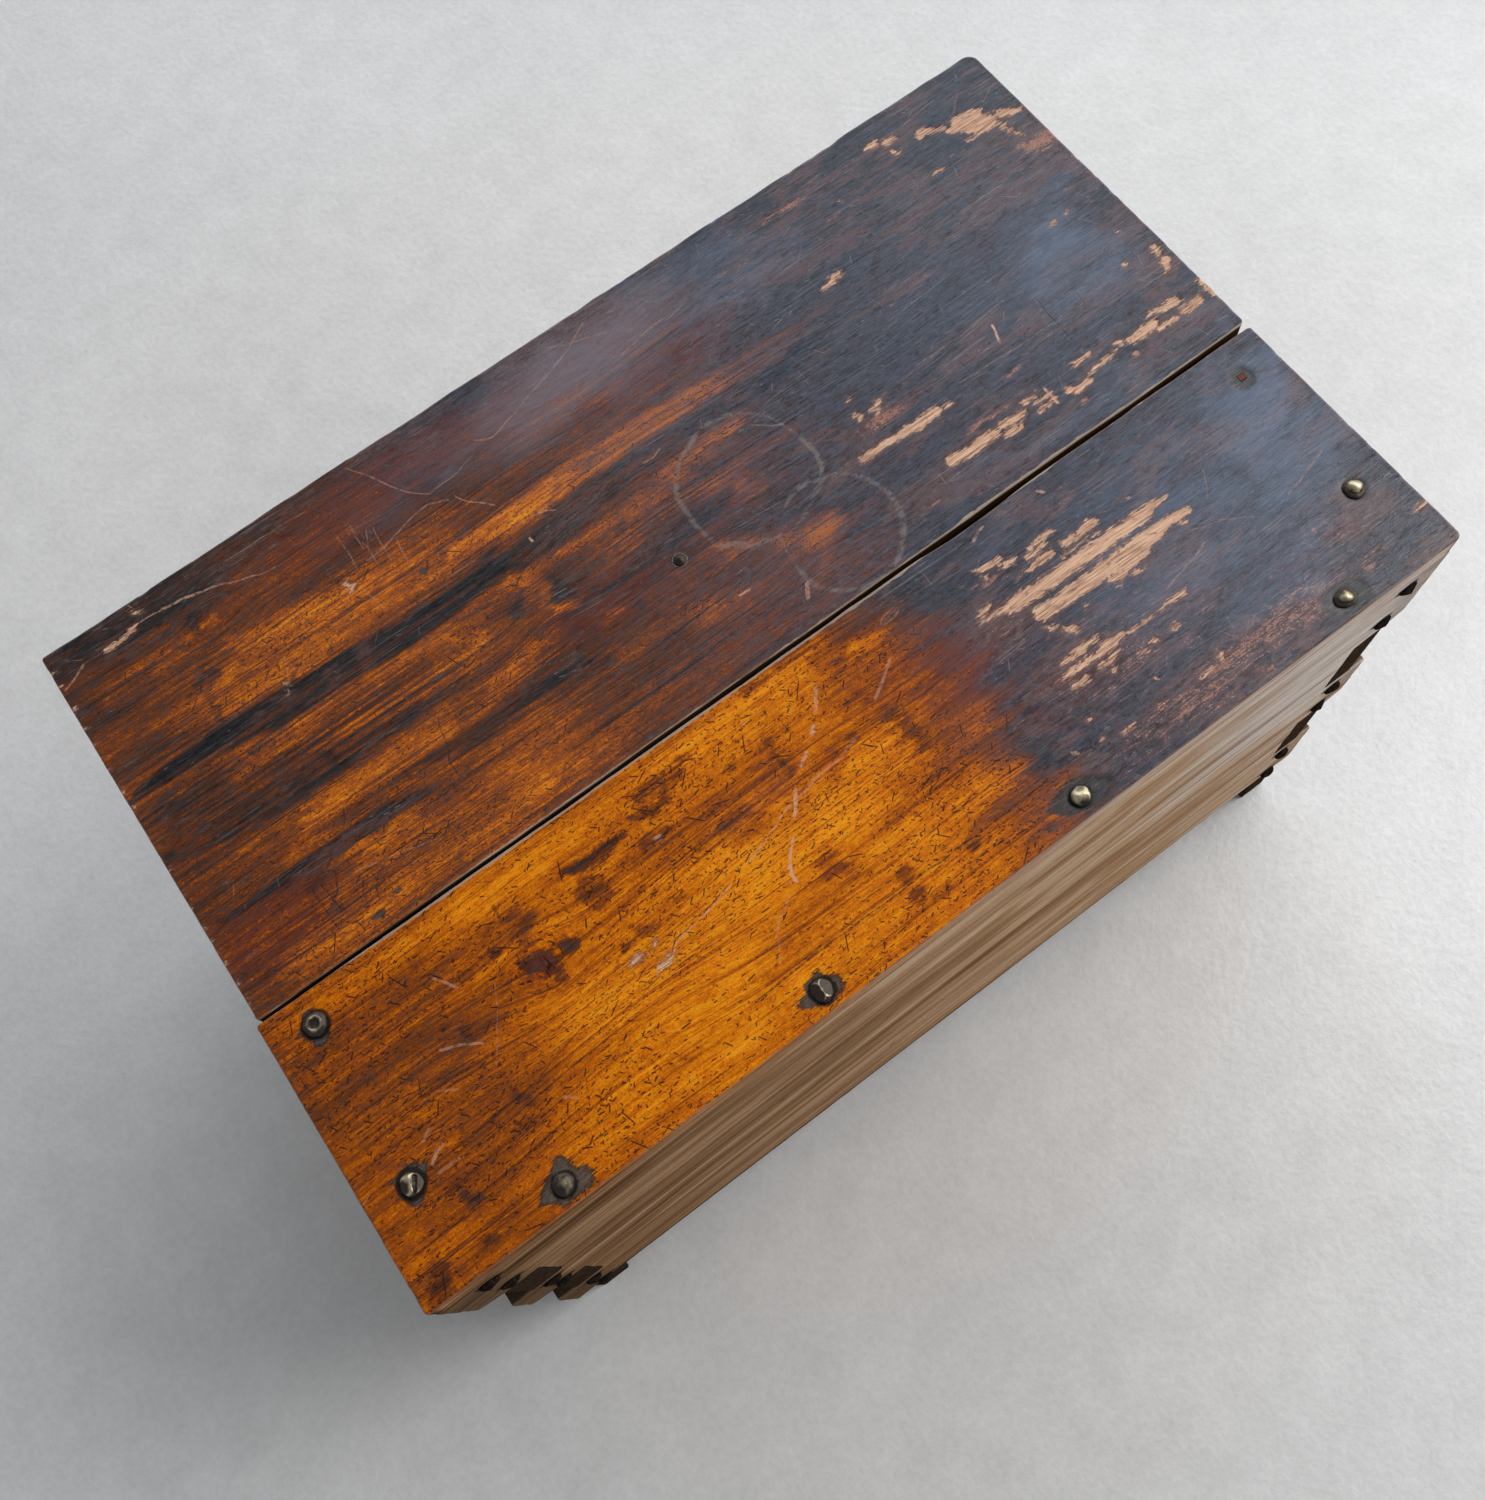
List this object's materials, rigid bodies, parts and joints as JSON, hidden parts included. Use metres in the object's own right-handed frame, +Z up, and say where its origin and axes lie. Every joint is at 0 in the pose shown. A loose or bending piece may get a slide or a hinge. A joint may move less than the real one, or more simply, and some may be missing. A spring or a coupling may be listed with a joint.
{
  "type": "wooden storage chest",
  "caption": "Low rectangular wooden storage chest: protruding finger joints with dome nails, a nailed front top plank, a lift-off lid behind it, and side boards that run down as feet.",
  "frame": {"origin": "on the floor, under the middle of the chest", "axes": "+X along the front to the right, +Y from the front to the back, +Z up"},
  "size_m": [0.72, 0.465, 0.4908],
  "materials": {
    "front_wood": "dry weathered softwood, grey-brown, long grain",
    "back_wood": "dry weathered softwood, grey-brown, long grain",
    "side_wood": "dry weathered softwood, upright grain",
    "floor_wood": "bare sawn softwood",
    "plank_wood": "worn satin lacquer, honey to blue-black",
    "lid_wood": "worn satin lacquer, amber to blue-black",
    "batten_wood": "bare sawn softwood",
    "forged_iron": "dark forged iron, rubbed bright on the domes"
  },
  "bodies": {
    "chest": {"front_board": "front_wood", "back_board": "back_wood", "side_board_left": "side_wood", "side_board_right": "side_wood", "bottom_board_front": "floor_wood", "bottom_board_back": "floor_wood", "top_plank": "plank_wood", "top_nail_front_1": "forged_iron", "top_nail_front_2": "forged_iron", "top_nail_front_3": "forged_iron", "top_nail_front_4": "forged_iron", "top_nail_left_1": "forged_iron", "top_nail_left_2": "forged_iron", "top_nail_right_1": "forged_iron", "top_nail_right_2": "forged_iron", "front_nail_left_1": "forged_iron", "front_nail_left_2": "forged_iron", "front_nail_left_3": "forged_iron", "front_nail_left_4": "forged_iron", "front_nail_left_5": "forged_iron", "front_nail_left_6": "forged_iron", "front_nail_right_1": "forged_iron", "front_nail_right_2": "forged_iron", "front_nail_right_3": "forged_iron", "front_nail_right_4": "forged_iron", "front_nail_right_5": "forged_iron", "front_nail_right_6": "forged_iron", "back_nail_left_1": "forged_iron", "back_nail_left_2": "forged_iron", "back_nail_left_3": "forged_iron", "back_nail_left_4": "forged_iron", "back_nail_left_5": "forged_iron", "back_nail_left_6": "forged_iron", "back_nail_right_1": "forged_iron", "back_nail_right_2": "forged_iron", "back_nail_right_3": "forged_iron", "back_nail_right_4": "forged_iron", "back_nail_right_5": "forged_iron", "back_nail_right_6": "forged_iron"},
    "lid": {"lid_board": "lid_wood", "lid_batten_left": "batten_wood", "lid_batten_right": "batten_wood", "lid_nail": "forged_iron", "batten_nail_left_1": "forged_iron", "batten_nail_left_2": "forged_iron", "batten_nail_left_3": "forged_iron", "batten_nail_right_1": "forged_iron", "batten_nail_right_2": "forged_iron", "batten_nail_right_3": "forged_iron"}
  },
  "joints": [
    {"name": "lid_lift", "type": "slide", "parent": "chest", "child": "lid", "axis": [0, 0, 1], "range_m": [0, 0.3]}
  ]
}
